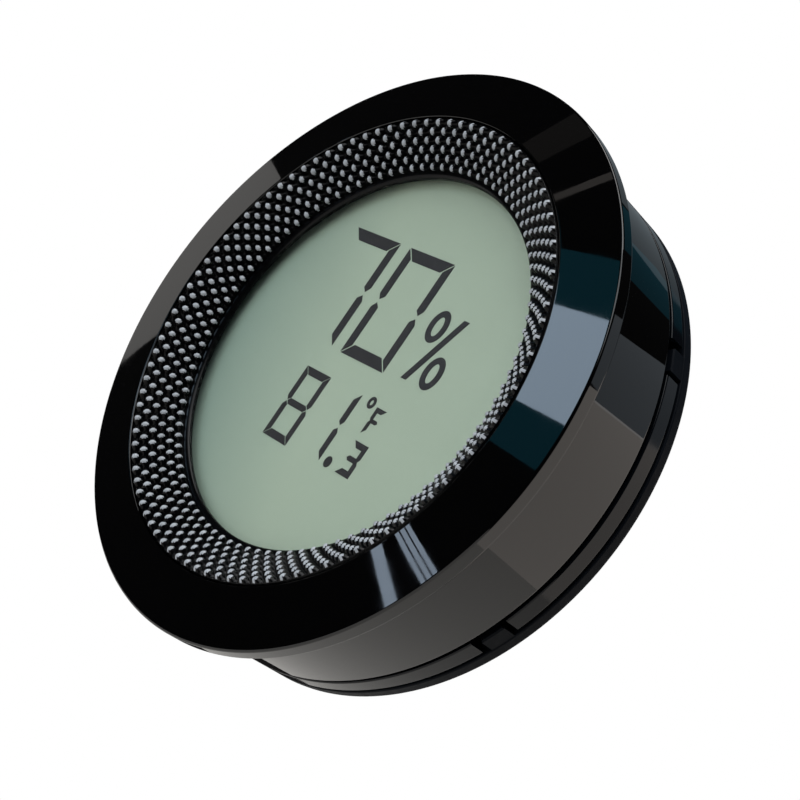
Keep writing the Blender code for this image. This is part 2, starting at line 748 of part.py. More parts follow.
def make_rear_cover(shop, gloss_black):
    """The cover's plate with its tabs, battery opening, lug gates, stops, vent slots and button hole."""
    edge = EDGE_BREAK
    cover = shop.turned(
        "rear_cover",
        [
            (0, REAR_FACE),
            (BARREL_RADIUS - 2 * edge, REAR_FACE),
            (BARREL_RADIUS, REAR_FACE + 2 * edge),
            (BARREL_RADIUS, COVER_INNER - edge),
            (BARREL_RADIUS - edge, COVER_INNER),
            (0, COVER_INNER),
        ],
        gloss_black,
    )
    tab_spread = math.degrees(TAB_WIDTH / BARREL_RADIUS)
    tab_bore, tab_outer = BARREL_RADIUS - BAND_WALL, BARREL_RADIUS - edge / 2
    tabs = shop.prism(
        "tab_shapes",
        [sector(tab_bore, tab_outer, a, tab_spread) for a in tab_angles()],
        COVER_INNER - COVER_THICKNESS / 2,
        BAND_FRONT - TAB_SHORTFALL,
    )
    stops = shop.prism(
        "stop_shapes",
        [
            shifted(sector(DOOR_RADIUS + 2 * GAP, LUG_RADIUS, a, STOP_ANGLE, 3), CELL_CENTRE)
            for a in stop_angles()
        ],
        COVER_INNER - COVER_THICKNESS / 2,
        LUG_FRONT,
    )
    low, high = REAR_FACE - PASS_THROUGH, COVER_INNER + PASS_THROUGH
    opening = shop.prism("door_opening", [door_outline()], low, high)
    middle = (VENT_COUNT - 1) / 2
    vents = [
        stadium(VENT_WIDTH, VENT_LOW, VENT_HIGH, (i - middle) * VENT_PITCH) for i in range(VENT_COUNT)
    ]
    button_hole = circle(BUTTON_RADIUS + RUNNING_GAP, BUTTON_PLACE, MEDIUM_SEGMENTS)
    holes = shop.prism("vent_slots", [*vents, button_hole], low, high)
    shop.join(cover, tabs, stops)
    return shop.cut(cover, opening, holes)


def door_outline():
    """The edge of the opening for the door, which is wider where the unlocked lugs pass through."""
    half = DOOR_LUG_ANGLE / 2 + GATE_GAP_ANGLE
    outline = []
    for lug, following in zip(lug_angles(), (*lug_angles()[1:], 360)):
        gate, next_gate = lug - DOOR_TWIST, following - DOOR_TWIST
        outline += arc(LUG_RADIUS + GAP, gate - half, gate + half, 8)
        outline += arc(DOOR_RADIUS + GAP, gate + half, next_gate - half, 26)
    return shifted(outline, CELL_CENTRE)


def lug_angles():
    """The middle angles of the door's two lugs when it is locked."""
    return (0, 180)


def stop_angles():
    """The middle angles of the stops, one past each end of each lug's travel."""
    past = DOOR_LUG_ANGLE / 2 + STOP_GAP_ANGLE + STOP_ANGLE / 2
    return [a + past for a in lug_angles()] + [a - DOOR_TWIST - past for a in lug_angles()]


def make_battery_door(shop, black):
    """The round door with its skirt, its two bayonet lugs and its coin slot, turning on its own axis."""
    origin = (*CELL_CENTRE, REAR_FACE)
    skirt_bore = HOLDER_RING_BORE
    door = shop.turned(
        "battery_door",
        [
            (0, REAR_FACE),
            (DOOR_RADIUS - EDGE_BREAK, REAR_FACE),
            (DOOR_RADIUS, REAR_FACE + EDGE_BREAK),
            (DOOR_RADIUS, LUG_FRONT),
            (skirt_bore, LUG_FRONT),
            (skirt_bore, DOOR_INNER),
            (0, DOOR_INNER),
        ],
        black,
        origin=origin,
        segments=SEGMENTS,
    )
    lugs = shop.prism(
        "lug_shapes",
        [
            shifted(sector(DOOR_RADIUS - GAP, LUG_RADIUS, a, DOOR_LUG_ANGLE, 6), CELL_CENTRE)
            for a in lug_angles()
        ],
        COVER_INNER + GAP,
        LUG_FRONT - LUG_SETBACK,
        origin=origin,
    )
    length, width, depth = COIN_SLOT
    slot = shop.prism(
        "coin_slot",
        [rectangle(length, width, CELL_CENTRE)],
        REAR_FACE - PASS_THROUGH,
        REAR_FACE + depth,
        origin=origin,
    )
    shop.join(door, lugs)
    return shop.cut(door, slot)


def make_unit_button(shop, finishes):
    """The button that changes the units, the switch on the board and the switch's plunger."""
    shop.turned(
        "unit_button",
        [
            (0, BUTTON_REAR),
            (BUTTON_RADIUS - EDGE_BREAK, BUTTON_REAR),
            (BUTTON_RADIUS, BUTTON_REAR + EDGE_BREAK),
            (BUTTON_RADIUS, BUTTON_FRONT - BUTTON_FLANGE_THICKNESS),
            (BUTTON_RADIUS + BUTTON_FLANGE, BUTTON_FRONT - BUTTON_FLANGE_THICKNESS),
            (BUTTON_RADIUS + BUTTON_FLANGE, BUTTON_FRONT),
            (0, BUTTON_FRONT),
        ],
        finishes["button"],
        origin=(*BUTTON_PLACE, BUTTON_REAR),
        segments=MEDIUM_SEGMENTS,
    )
    switch = shop.prism(
        "switch_body",
        [rectangle(SWITCH_SIDE, SWITCH_SIDE, BUTTON_PLACE)],
        SWITCH_REAR,
        SOLDER,
        finishes["epoxy"],
        origin=(*BUTTON_PLACE, SOLDER),
    )
    well = shop.prism(
        "switch_well",
        [circle(PLUNGER_RADIUS + RUNNING_GAP, BUTTON_PLACE)],
        SWITCH_REAR - PASS_THROUGH,
        SOLDER - SWITCH_FLOOR,
    )
    shop.cut(switch, well)
    plunger_front = SOLDER - SWITCH_FLOOR - BUTTON_TRAVEL - SWITCH_OVERTRAVEL - LAYER_GAP
    shop.turned(
        "switch_plunger",
        [
            (0, PLUNGER_REAR),
            (PLUNGER_RADIUS - EDGE_BREAK, PLUNGER_REAR),
            (PLUNGER_RADIUS, PLUNGER_REAR + EDGE_BREAK),
            (PLUNGER_RADIUS, plunger_front),
            (0, plunger_front),
        ],
        finishes["white"],
        origin=(*BUTTON_PLACE, PLUNGER_REAR),
        segments=SMALL_SEGMENTS,
    )


def main():
    """Builds every piece of the hygrometer."""
    clear_scene()
    shop = Workshop()
    finishes = {
        "gloss": finish("gloss_black_plastic", (0.012, 0.012, 0.014), 0.12),
        "knurl": finish("knurled_black_plastic", (0.03, 0.03, 0.035), 0.25),
        "cover": finish("cover_black_plastic", (0.02, 0.021, 0.024), 0.35),
        "door": finish("door_black_plastic", (0.028, 0.028, 0.03), 0.4),
        "button": finish("button_grey_plastic", (0.12, 0.12, 0.13), 0.45),
        "clear": finish("clear_acrylic", (0.9, 0.95, 0.92), 0.03, transmission=0.9),
        "polariser": finish("polariser_film", (0.45, 0.52, 0.45), 0.25),
        "glass": finish("display_glass", (0.6, 0.7, 0.65), 0.05, transmission=0.6),
        "reflector": finish("reflector_film", (0.38, 0.45, 0.38), 0.3),
        "white": finish("white_plastic", (0.8, 0.8, 0.77), 0.5),
        "rubber": finish("contact_rubber", (0.1, 0.1, 0.1), 0.7),
        "board": finish("green_board", (0.03, 0.16, 0.07), 0.4),
        "steel": finish("zinc_plated_steel", (0.6, 0.6, 0.62), 0.3, metallic=1.0),
        "ceramic": finish("pale_ceramic", (0.75, 0.74, 0.7), 0.55),
        "epoxy": finish("black_epoxy", (0.015, 0.015, 0.015), 0.35),
        "nickel": finish("nickel_plate", (0.66, 0.64, 0.6), 0.25, metallic=1.0),
    }
    make_bezel(shop, finishes["gloss"])
    make_barrel(shop, finishes["gloss"])
    make_knurled_ring(shop, finishes["knurl"])
    make_display(shop, finishes)
    make_board(shop, finishes)
    make_battery(shop, finishes)
    make_unit_button(shop, finishes)
    make_case_ring(shop, finishes["gloss"])
    make_screws(
        shop,
        "case_screw",
        CASE_SCREW_CIRCLE,
        CASE_SCREW_ANGLES,
        RING_FLANGE_REAR,
        CASE_SCREW_LENGTH,
        finishes["steel"],
    )
    make_rear_cover(shop, finishes["cover"])
    make_battery_door(shop, finishes["door"])


main()
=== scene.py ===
"""Looks of a round digital hygrometer: its mouldings, knurled ring, display, rear cover and studio.

Shapes are drawn in the dial's own axes, in millimetres: x to the reader's right, y up and z out of the
dial, with z = 0 where the bezel's flange meets the panel. They are turned into the row's metres as each
mesh is made.
"""

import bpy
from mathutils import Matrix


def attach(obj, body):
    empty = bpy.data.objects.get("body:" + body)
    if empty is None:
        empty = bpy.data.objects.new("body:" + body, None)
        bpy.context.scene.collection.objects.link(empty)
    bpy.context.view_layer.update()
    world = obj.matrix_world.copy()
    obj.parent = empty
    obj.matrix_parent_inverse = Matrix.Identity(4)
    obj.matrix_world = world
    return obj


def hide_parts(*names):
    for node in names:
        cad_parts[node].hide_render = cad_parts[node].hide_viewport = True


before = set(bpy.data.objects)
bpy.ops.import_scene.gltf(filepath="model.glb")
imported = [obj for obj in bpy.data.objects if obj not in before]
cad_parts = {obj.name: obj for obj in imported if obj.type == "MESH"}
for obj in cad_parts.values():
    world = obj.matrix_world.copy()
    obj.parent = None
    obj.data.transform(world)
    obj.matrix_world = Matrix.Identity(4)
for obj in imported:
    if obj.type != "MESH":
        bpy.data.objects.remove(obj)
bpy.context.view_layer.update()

import logging
import math
from dataclasses import dataclass, field
from enum import Enum
from typing import Callable, Iterable, Sequence

import bmesh
import bpy
from mathutils import Matrix, Quaternion, Vector

LOG = logging.getLogger("hygrometer")
MM = 0.001
CASE = "case"
PAST_FACE = 0.4  # how far a cutter runs past the face it opens
OVERLAP = 0.3  # how far joined and cut shapes run into each other
ROOT_DEPTH = 0.5  # how far a tab or stop starts inside the cover

Point2 = tuple[float, float]
Point3 = tuple[float, float, float]
Outline = list[Point2]
Level = tuple[float, float]  # a height, and how far the outline is grown there
Piece = bpy.types.Object
Socket = bpy.types.NodeSocket
Tree = bpy.types.NodeTree


def to_world(x: float, y: float, z: float) -> Point3:
    """The row's place, in metres, of a place in the dial's axes, in millimetres."""
    return (x * MM, -z * MM, y * MM)


# ---- finishes


@dataclass(frozen=True)
class Finish:
    """A surface with a fine grain: its colour, roughness and height all vary a little.

    Sizes of the grain are in millimetres and heights in millimetres too.
    """

    name: str
    colour: Point3
    roughness: float = 0.4
    metallic: float = 0.0
    tone: float = 0.25
    tone_size: float = 3.0
    wear: float = 0.05
    wear_size: float = 0.6
    relief: float = 0.0
    relief_size: float = 0.2
    alpha: float = 1.0
    ior: float = 1.5
    specular: float = 0.5

    def material(self) -> bpy.types.Material:
        """The material of this finish, made the first time it is asked for.

        Returns:
            The shared material.
        """
        made = bpy.data.materials.get(self.name)
        if made:
            return made
        made = bpy.data.materials.new(self.name)
        made.use_nodes = True
        tree = made.node_tree
        shader = tree.nodes["Principled BSDF"]
        shader.inputs["Metallic"].default_value = self.metallic
        shader.inputs["IOR"].default_value = self.ior
        shader.inputs["Specular IOR Level"].default_value = self.specular
        shader.inputs["Alpha"].default_value = self.alpha
        place = tree.nodes.new("ShaderNodeTexCoord").outputs["Object"]
        tree.links.new(self.colouring(tree, place), shader.inputs["Base Color"])
        wear = self.noise(tree, place, self.wear_size)
        rough = self.ranged(tree, wear, self.roughness - self.wear, self.roughness + self.wear)
        tree.links.new(rough, shader.inputs["Roughness"])
        if self.relief:
            bump = tree.nodes.new("ShaderNodeBump")
            bump.inputs["Distance"].default_value = self.relief * MM
            tree.links.new(self.noise(tree, place, self.relief_size), bump.inputs["Height"])
            tree.links.new(bump.outputs["Normal"], shader.inputs["Normal"])
        return made

    def colouring(self, tree: Tree, place: Socket) -> Socket:
        """The colour's socket: the finish's colour, a little lighter and darker in patches.

        Args:
            tree: the material's nodes.
            place: the socket that gives the place on the surface.

        Returns:
            The socket that gives the colour.
        """
        patches = self.noise(tree, place, self.tone_size)
        mix = tree.nodes.new("ShaderNodeMix")
        mix.data_type = "RGBA"
        low = [c * (1 - self.tone) for c in self.colour]
        high = [min(1.0, c * (1 + self.tone)) for c in self.colour]
        mix.inputs["A"].default_value = (*low, 1.0)
        mix.inputs["B"].default_value = (*high, 1.0)
        tree.links.new(patches, mix.inputs["Factor"])
        return mix.outputs["Result"]

    @staticmethod
    def noise(tree: Tree, place: Socket, size: float) -> Socket:
        """A noise whose patches are about one size across.

        Args:
            tree: the material's nodes.
            place: the socket that gives the place on the surface.
            size: the patches' size, in millimetres.

        Returns:
            The socket that gives the noise, about 0 to 1.
        """
        noise = tree.nodes.new("ShaderNodeTexNoise")
        noise.inputs["Scale"].default_value = 1 / (size * MM)
        noise.inputs["Detail"].default_value = 3.0
        tree.links.new(place, noise.inputs["Vector"])
        return noise.outputs["Fac"]

    @staticmethod
    def ranged(tree: Tree, value: Socket, low: float, high: float) -> Socket:
        """A value from 0.3 to 0.7 stretched over another range.

        Args:
            tree: the material's nodes.
            value: the socket to stretch.
            low: what 0.3 becomes.
            high: what 0.7 becomes.

        Returns:
            The socket that gives the stretched value.
        """
        stretch = tree.nodes.new("ShaderNodeMapRange")
        stretch.inputs["From Min"].default_value = 0.3
        stretch.inputs["From Max"].default_value = 0.7
        stretch.inputs["To Min"].default_value = max(0.0, low)
        stretch.inputs["To Max"].default_value = high
        tree.links.new(value, stretch.inputs["Value"])
        return stretch.outputs["Result"]


@dataclass(frozen=True)
class PaintedShadeFilm(Finish):
    """A film of its own grey-green with painted shading: darker at the dial's left and lighter at its right,
    along a slanted line.
    """

    # The lighter colour that the painted shading reaches at the right of the dial.
    far_colour: Point3 = (0.3, 0.4, 0.3)
    start: float = -15.5
    end: float = -2.0
    slant: float = 0.3

    def colouring(self, tree: Tree, place: Socket) -> Socket:
        """The colour's socket: painted shading from the darker near colour at the left to the lighter far
        colour at the right.

        Args:
            tree: the material's nodes.
            place: the socket that gives the place on the surface.

        Returns:
            The socket that gives the colour.
        """
        across = tree.nodes.new("ShaderNodeVectorMath")
        across.operation = "DOT_PRODUCT"
        across.inputs[1].default_value = (math.cos(self.slant), 0.0, math.sin(self.slant))
        tree.links.new(place, across.inputs[0])
        share = tree.nodes.new("ShaderNodeMapRange")
        share.inputs["From Min"].default_value = self.start * MM
        share.inputs["From Max"].default_value = self.end * MM
        tree.links.new(across.outputs["Value"], share.inputs["Value"])
        mix = tree.nodes.new("ShaderNodeMix")
        mix.data_type = "RGBA"
        mix.inputs["A"].default_value = (*self.colour, 1.0)
        mix.inputs["B"].default_value = (*self.far_colour, 1.0)
        tree.links.new(share.outputs["Result"], mix.inputs["Factor"])
        cloud = tree.nodes.new("ShaderNodeMix")
        cloud.data_type = "RGBA"
        cloud.blend_type = "MULTIPLY"
        cloud.inputs["Factor"].default_value = self.tone
        tree.links.new(mix.outputs["Result"], cloud.inputs["A"])
        grey = self.ranged(tree, self.noise(tree, place, self.tone_size), 0.75, 1.25)
        tree.links.new(grey, cloud.inputs["B"])
        return cloud.outputs["Result"]


class Surface(Enum):
    """Every finish of the object and the floor."""

    GLOSS_BLACK = Finish(
        "gloss_black", (0.0004, 0.0004, 0.0005), 0.022, wear=0.012, wear_size=2.5, relief=0.0006,
        relief_size=2.2,
    )
    BAND_BLACK = Finish(
        "band_black", (0.0012, 0.0018, 0.003), 0.08, wear=0.04, wear_size=1.5, relief=0.0008,
        relief_size=1.5, specular=0.22,
    )
    KNURL_BLACK = Finish(
        "knurl_black", (0.0008, 0.0008, 0.0011), 0.22, wear=0.05, wear_size=0.3, relief=0.0008,
        relief_size=0.15, specular=0.16,
    )
    # A painted highlight: the light grey that the knurl's point tips take, standing in for the lamps' glint
    # on the glossy black points.
    KNURL_TIP = Finish(
        "knurl_painted_highlight", (0.3, 0.32, 0.35), 0.24, tone=0.45, tone_size=0.7, wear=0.06, wear_size=0.3,
        relief=0.0008, relief_size=0.15,
    )
    COVER_BLACK = Finish(
        "cover_black", (0.0024, 0.0036, 0.0058), 0.5, wear=0.06, wear_size=0.5, relief=0.002,
        relief_size=0.15, specular=0.06,
    )
    DOOR_BLACK = Finish(
        "door_black", (0.004, 0.0046, 0.006), 0.42, wear=0.06, wear_size=0.4, relief=0.004,
        relief_size=0.1, specular=0.16,
    )
    BUTTON_GREY = Finish(
        "button_grey", (0.05, 0.05, 0.055), 0.42, wear=0.05, relief=0.003, relief_size=0.12
    )
    CLEAR = Finish(
        "clear_pane", (0.04, 0.05, 0.045), 0.05, wear=0.01, wear_size=4.0, tone=0.1, alpha=0.05
    )
    # The film's own grey-green with painted shading: darker at the left and lighter at the right.
    FILM = PaintedShadeFilm(
        "display_film", (0.2, 0.282, 0.238), 0.3, tone=0.08, tone_size=14.0, wear=0.02, wear_size=3.0,
        far_colour=(0.337, 0.42, 0.328),
    )
    FIGURE = Finish("figure_dark", (0.024, 0.022, 0.024), 0.35, tone=0.2, tone_size=0.8, wear=0.05)
    GLASS = Finish("display_glass", (0.35, 0.42, 0.38), 0.08, tone=0.05, wear=0.03, alpha=0.6)
    WHITE = Finish("white_moulding", (0.62, 0.62, 0.6), 0.45, tone=0.05, relief=0.004, relief_size=0.15)
    RUBBER = Finish("layered_rubber", (0.05, 0.05, 0.052), 0.7, tone=0.3, tone_size=0.1, relief=0.01)
    BOARD = Finish("solder_mask", (0.012, 0.09, 0.035), 0.3, tone=0.35, tone_size=0.9, relief=0.02)
    STEEL = Finish(
        "zinc_plate", (0.5, 0.51, 0.52), 0.28, metallic=1.0, tone=0.1, wear=0.08, relief=0.003
    )
    NICKEL = Finish(
        "nickel_plate", (0.6, 0.58, 0.55), 0.2, metallic=1.0, tone=0.08, wear=0.08, relief=0.002
    )
    CERAMIC = Finish("pale_ceramic", (0.55, 0.53, 0.48), 0.5, tone=0.08, relief=0.004)
    FLOOR = Finish("pale_floor", (0.62, 0.6, 0.57), 0.6, tone=0.01, tone_size=200)
    EPOXY = Finish("black_epoxy", (0.012, 0.012, 0.012), 0.3, tone=0.2, relief=0.01, relief_size=0.5)


# ---- shapes


def circle(radius: float, centre: Point2 = (0.0, 0.0), count: int = 48) -> Outline:
    """Points round a circle."""
    return ellipse((radius, radius), centre, count)


def ellipse(radii: Point2, centre: Point2, count: int = 48) -> Outline:
    """Points round an upright ellipse.

    Args:
        radii: half its width and half its height.
        centre: its centre.
        count: how many points.

    Returns:
        The points, anticlockwise.
    """
    turns = [2 * math.pi * i / count for i in range(count)]
    return [(centre[0] + radii[0] * math.cos(a), centre[1] + radii[1] * math.sin(a)) for a in turns]


def arc(radius: float, start: float, end: float, count: int) -> Outline:
    """Points along an arc about the origin.

    Args:
        radius: the arc's radius.
        start: its first angle, in degrees.
        end: its last angle, in degrees.
        count: how many points, both ends among them.

    Returns:
        The points in order.
    """
    angles = [math.radians(start + (end - start) * i / (count - 1)) for i in range(count)]
    return [(radius * math.cos(a), radius * math.sin(a)) for a in angles]


def sector(inner: float, outer: float, middle: float, spread: float, count: int = 9) -> Outline:
    """A piece of a ring.

    Args:
        inner: its inner radius.
        outer: its outer radius.
        middle: the angle of its middle, in degrees.
        spread: its width, in degrees.
        count: points along each arc.

    Returns:
        The outline, anticlockwise.
    """
    low, high = middle - spread / 2, middle + spread / 2
    return arc(outer, low, high, count) + arc(inner, high, low, count)


def stadium(width: float, low: float, high: float, x: float, count: int = 12) -> Outline:
    """An upright slot with round ends.

    Args:
        width: its width.
        low: the height of its lower end.
        high: the height of its upper end.
        x: its middle.
        count: points round each end.

    Returns:
        The outline, anticlockwise.
    """
    radius = width / 2
    top = [(x + px, high - radius + py) for px, py in arc(radius, 0, 180, count)]
    bottom = [(x + px, low + radius + py) for px, py in arc(radius, 180, 360, count)]
    return top + bottom


def moved(outline: Iterable[Point2], centre: Point2) -> Outline:
    """The same outline about another centre."""
    return [(x + centre[0], y + centre[1]) for x, y in outline]


@dataclass(frozen=True)
class Corner:
    """A corner of a turned profile, with the radius it is rounded to."""

    radius: float
    height: float
    fillet: float = 0.0


def rounded(corners: Sequence[Corner], steps: int = 6, guard: float = 0.03) -> list[Point2]:
    """A closed profile with its corners rounded and a guard point near each end of a long side.

    Args:
        corners: the profile's corners in order.
        steps: parts of each rounded corner.
        guard: how far from a corner the guard points stand, so that flat sides shade flat.

    Returns:
        The profile's points.
    """
    points: list[Vector] = []
    places = [Vector((corner.radius, corner.height)) for corner in corners]
    for i, (corner, here) in enumerate(zip(corners, places)):
        before, after = places[i - 1] - here, places[(i + 1) % len(places)] - here
        if not corner.fillet:
            points.append(here)
            continue
        half = before.angle(after) / 2
        reach = corner.fillet / math.tan(half)
        start = here + before.normalized() * reach
        end = here + after.normalized() * reach
        middle = here + (before.normalized() + after.normalized()).normalized() * (
            corner.fillet / math.sin(half)
        )
        first, last = start - middle, end - middle
        sweep = first.angle_signed(last)
        for step in range(steps + 1):
            points.append(middle + Matrix.Rotation(-sweep * step / steps, 2) @ first)
    guarded: list[Point2] = []
    for i, here in enumerate(points):
        guarded.append((max(0.0, here.x), here.y))
        following = points[(i + 1) % len(points)]
        side = following - here
        if side.length > 4 * guard and here.x > 0 and following.x > 0:
            along = side.normalized() * guard
            guarded.append(tuple(here + along))
            guarded.append(tuple(here + side - along))
    return guarded


def finished(name: str, shape: bmesh.types.BMesh, surface: Surface, sharp: float = 30) -> Piece:
    """A shown object from a shape, smooth but for its sharp edges.

    Args:
        name: the object's name.
        shape: its shape, which is used up.
        surface: its finish.
        sharp: the angle, in degrees, above which an edge stays sharp.

    Returns:
        The object, in the scene.
    """
    bmesh.ops.recalc_face_normals(shape, faces=shape.faces)
    mesh = bpy.data.meshes.new(name)
    shape.to_mesh(mesh)
    shape.free()
    mesh.shade_smooth()
    mesh.set_sharp_from_angle(angle=math.radians(sharp))
    mesh.materials.append(surface.value.material())
    made = bpy.data.objects.new(name, mesh)
    bpy.context.scene.collection.objects.link(made)
    return made


def bridge(shape: bmesh.types.BMesh, rings: Sequence[list[bmesh.types.BMVert]]) -> None:
    """Joins each ring of points to the next one with four-sided faces.

    Args:
        shape: the shape that gets the faces.
        rings: the rings, with as many points in each.
    """
    for low, high in zip(rings, rings[1:]):
        for i in range(len(low)):
            j = (i + 1) % len(low)
            shape.faces.new((low[i], low[j], high[j], high[i]))


def lathe(
    name: str,
    corners: Sequence[Corner],
    surface: Surface,
    centre: Point2 = (0.0, 0.0),
    segments: int = 240,
    sharp: float = 35,
) -> Piece:
    """A piece turned about an axis that stands on the dial.

    Args:
        name: the object's name.
        corners: its closed profile.
        surface: its finish.
        centre: where the axis stands.
        segments: sides round it.
        sharp: the angle above which an edge stays sharp.

    Returns:
        The object.
    """
    shape = bmesh.new()
    rings = []
    for radius, height in rounded(corners):
        points = circle(radius, centre, segments) if radius > 1e-6 else [centre]
        rings.append([shape.verts.new(to_world(x, y, height)) for x, y in points])
    for low, high in zip(rings, rings[1:] + rings[:1]):
        if len(low) == len(high) == 1:
            continue
        for i in range(segments):
            j = (i + 1) % segments
            four = (low[i % len(low)], low[j % len(low)], high[j % len(high)], high[i % len(high)])
            shape.faces.new(list(dict.fromkeys(four)))
    return finished(name, shape, surface, sharp)


def prism(
    name: str,
    outlines: Iterable[Outline],
    levels: Sequence[Level],
    surface: Surface,
    grow: Callable[[Outline, float], Outline] | None = None,
) -> Piece:
    """Outlines carried through several levels, each level grown outwards by its own amount.

    Args:
        name: the object's name.
        outlines: the outlines, each a body of its own.
        levels: height and growth of each level, from the lowest up.
        surface: its finish.
        grow: a function that gives an outline grown by an amount; without it the outline is offset
            along its own corners' bisectors.

    Returns:
        The object.
    """
    shape = bmesh.new()
    for outline in outlines:
        rings = []
        for height, growth in levels:
            points = (grow or offset)(outline, growth) if growth else outline
            rings.append([shape.verts.new(to_world(x, y, height)) for x, y in points])
        bridge(shape, rings)
        shape.faces.new(rings[0][::-1])
        shape.faces.new(rings[-1])
    return finished(name, shape, surface)


def offset(outline: Outline, growth: float) -> Outline:
    """An outline grown outwards all round.

    Args:
        outline: the outline, anticlockwise.
        growth: how far it grows.

    Returns:
        The grown outline.
    """
    grown = []
    for i, point in enumerate(outline):
        here, before = Vector(point), Vector(outline[i - 1])
        after = Vector(outline[(i + 1) % len(outline)])
        first, second = (here - before).normalized(), (after - here).normalized()
        out = Vector((first.y, -first.x)) + Vector((second.y, -second.x))
        if out.length < 1e-6:
            out = Vector((first.y, -first.x))
        scale = growth / max(0.35, out.length / 2)
        grown.append(tuple(here + out.normalized() * scale))
    return grown


def worked(piece: Piece, steps: Sequence[tuple[str, Piece]]) -> Piece:
    """A piece with other shapes cut from it or joined to it for good.

    Args:
        piece: the piece.
        steps: operation and shape, in order; the shapes are used up.

    Returns:
        The same piece.
    """
    for operation, other in steps:
        modifier = piece.modifiers.new(other.name, "BOOLEAN")
        modifier.operation = operation
        modifier.solver = "EXACT"
        modifier.object = other
    graph = bpy.context.evaluated_depsgraph_get()
    mesh = bpy.data.meshes.new_from_object(piece.evaluated_get(graph))
    piece.modifiers.clear()
    piece.data = mesh
    mesh.shade_smooth()
    mesh.set_sharp_from_angle(angle=math.radians(30))
    for _, other in steps:
        bpy.data.objects.remove(other, do_unlink=True)
    return piece


def shown(piece: Piece, body: str, slot: str, *nodes: str) -> Piece:
    """Puts a piece on its body, in place of the nodes it stands for.

    Args:
        piece: the piece.
        body: the body it moves with.
        slot: the record's material slot; not used.
        nodes: the nodes it stands for.

    Returns:
        The same piece.
    """
    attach(piece, body)
    if nodes:
        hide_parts(*nodes)
    return piece


# ---- front


@dataclass
class Bezel:
    """The bezel's face and flange, and the barrel behind it."""

    radius: float = 22.5
    rim: float = 1.25
    crest: float = 1.9
    crest_radius: float = 18.3
    pocket_floor: float = 0.3
    seat_radius: float = 16.5
    seat_front: float = -0.9
    seat_rear: float = -1.4
    seat_wall: float = 1.1
    spigot: float = 19.7
    spigot_rear: float = -0.6
    barrel_radius: float = 21.2
    barrel_bore: float = 20.0
    barrel_front: float = -0.02
    barrel_rear: float = -7.35
    segments: int = 300

    def face(self) -> Piece:
        """The bezel.

        Returns:
            The piece.
        """
        profile = [
            Corner(self.spigot, 0.0),
            Corner(self.barrel_radius, 0.0),
            Corner(self.radius, 0.0, 0.22),
            Corner(self.radius, self.rim, 0.16),
            Corner(self.crest_radius, self.crest, 0.12),
            Corner(self.crest_radius, self.pocket_floor),
            Corner(self.seat_radius, self.seat_front),
            Corner(self.seat_radius, self.seat_rear),
            Corner(self.seat_radius + self.seat_wall, self.seat_rear),
            Corner(self.spigot, self.spigot_rear),
        ]
        made = lathe("bezel_moulding", profile, Surface.GLOSS_BLACK, segments=self.segments)
        return shown(made, CASE, "gloss_black_plastic", "bezel")

    def tube(self) -> Piece:
        """The barrel, whose front edge meets the flange.

        Returns:
            The piece.
        """
        profile = [
            Corner(self.barrel_bore, self.barrel_front),
            Corner(self.barrel_bore, self.barrel_rear),
            Corner(self.barrel_radius, self.barrel_rear, 0.16),
            Corner(self.barrel_radius, self.barrel_front),
        ]
        made = lathe("barrel_moulding", profile, Surface.GLOSS_BLACK, segments=self.segments)
        return shown(made, CASE, "gloss_black_plastic", "barrel")

    def build(self) -> None:
        """Makes the bezel and the barrel."""
        self.face()
        self.tube()
        LOG.info("bezel and barrel: %.1f mm across", 2 * self.radius)


